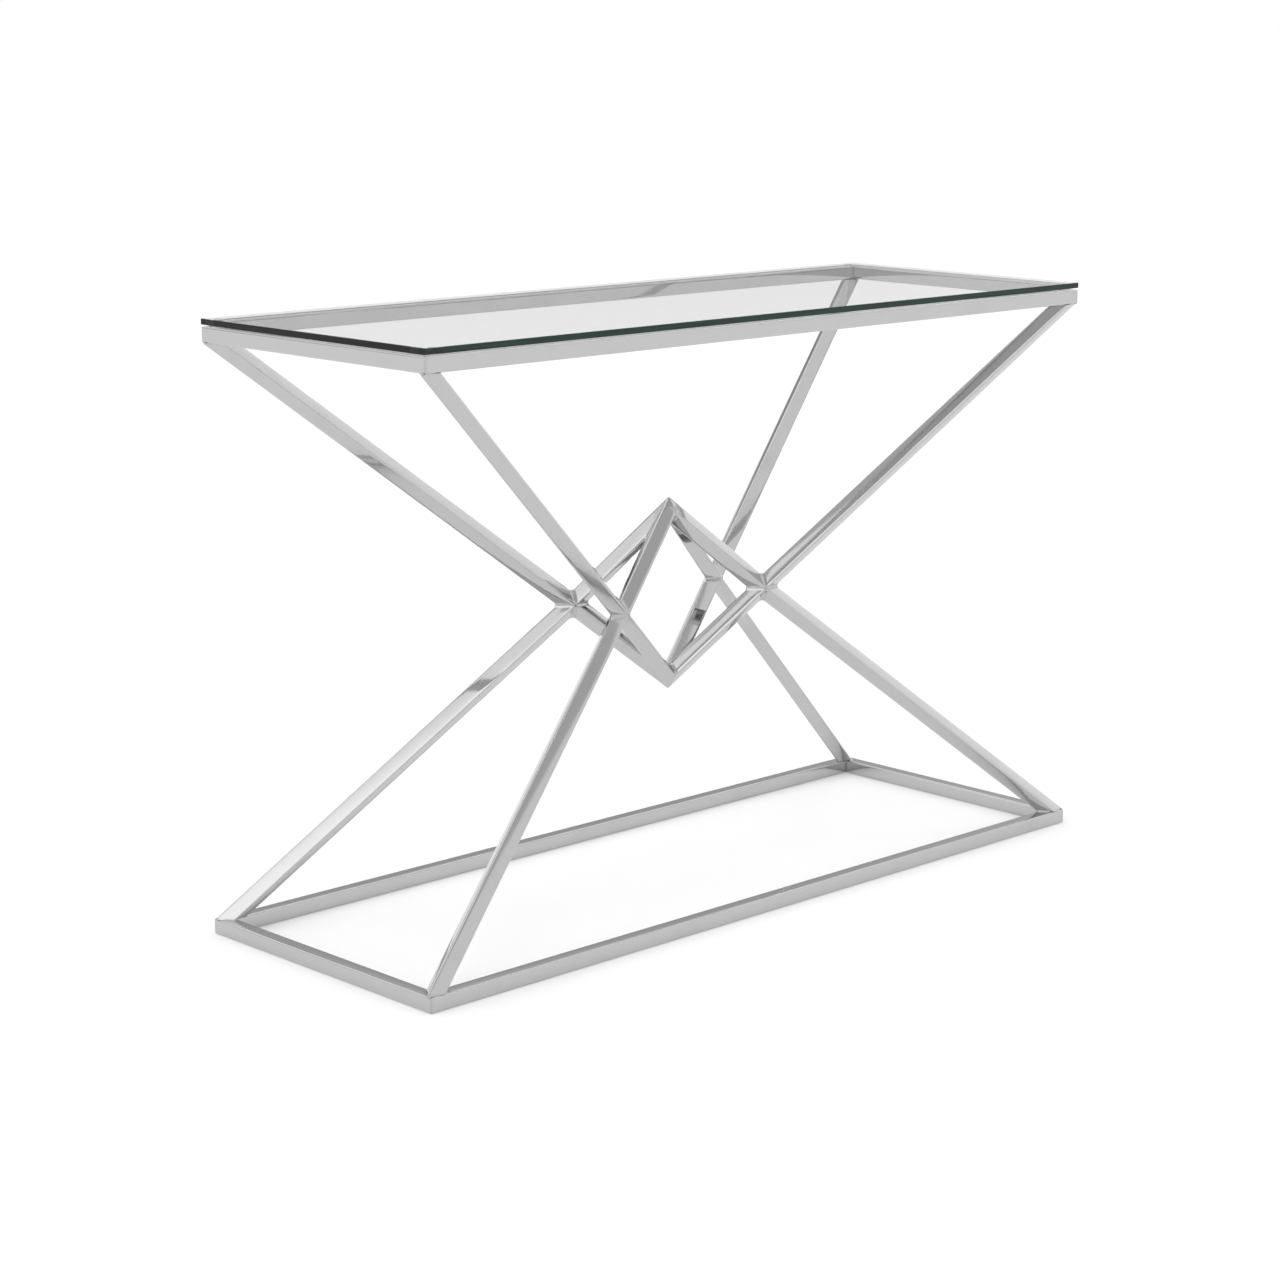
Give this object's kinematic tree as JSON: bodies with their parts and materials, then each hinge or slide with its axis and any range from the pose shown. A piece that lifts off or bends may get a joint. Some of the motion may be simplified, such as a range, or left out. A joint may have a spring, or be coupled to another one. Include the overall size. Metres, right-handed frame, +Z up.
{
  "type": "console table",
  "caption": "Console table: clear glass top on a polished square-tube frame of two crossing pyramids that enclose an open diamond.",
  "frame": {"origin": "floor level under the centre of the table", "axes": "+X along the length of the table, +Y to the back, +Z up"},
  "size_m": [1.2, 0.43, 0.79],
  "materials": {
    "polished_steel": "mirror polished",
    "glass": "clear, polished edges with a green tint",
    "bumper": "clear soft plastic, smooth"
  },
  "bodies": {
    "frame": {"bumper_front_left": "bumper", "bumper_front_right": "bumper", "bumper_back_left": "bumper", "bumper_back_right": "bumper", "top_rail_front": "polished_steel", "top_rail_back": "polished_steel", "top_rail_left": "polished_steel", "top_rail_right": "polished_steel", "base_rail_front": "polished_steel", "base_rail_back": "polished_steel", "base_rail_left": "polished_steel", "base_rail_right": "polished_steel", "upper_leg_front_left": "polished_steel", "upper_leg_front_right": "polished_steel", "upper_leg_back_left": "polished_steel", "upper_leg_back_right": "polished_steel", "lower_leg_front_left": "polished_steel", "lower_leg_front_right": "polished_steel", "lower_leg_back_left": "polished_steel", "lower_leg_back_right": "polished_steel", "diamond_upper_front_left": "polished_steel", "diamond_upper_front_right": "polished_steel", "diamond_upper_back_left": "polished_steel", "diamond_upper_back_right": "polished_steel", "diamond_lower_front_left": "polished_steel", "diamond_lower_front_right": "polished_steel", "diamond_lower_back_left": "polished_steel", "diamond_lower_back_right": "polished_steel"},
    "glass": {"glass_top": "glass"}
  },
  "joints": [
    {"name": "glass_lift", "type": "slide", "parent": "frame", "child": "glass", "axis": [0, 0, 1], "range_m": [0, 0.1]}
  ]
}
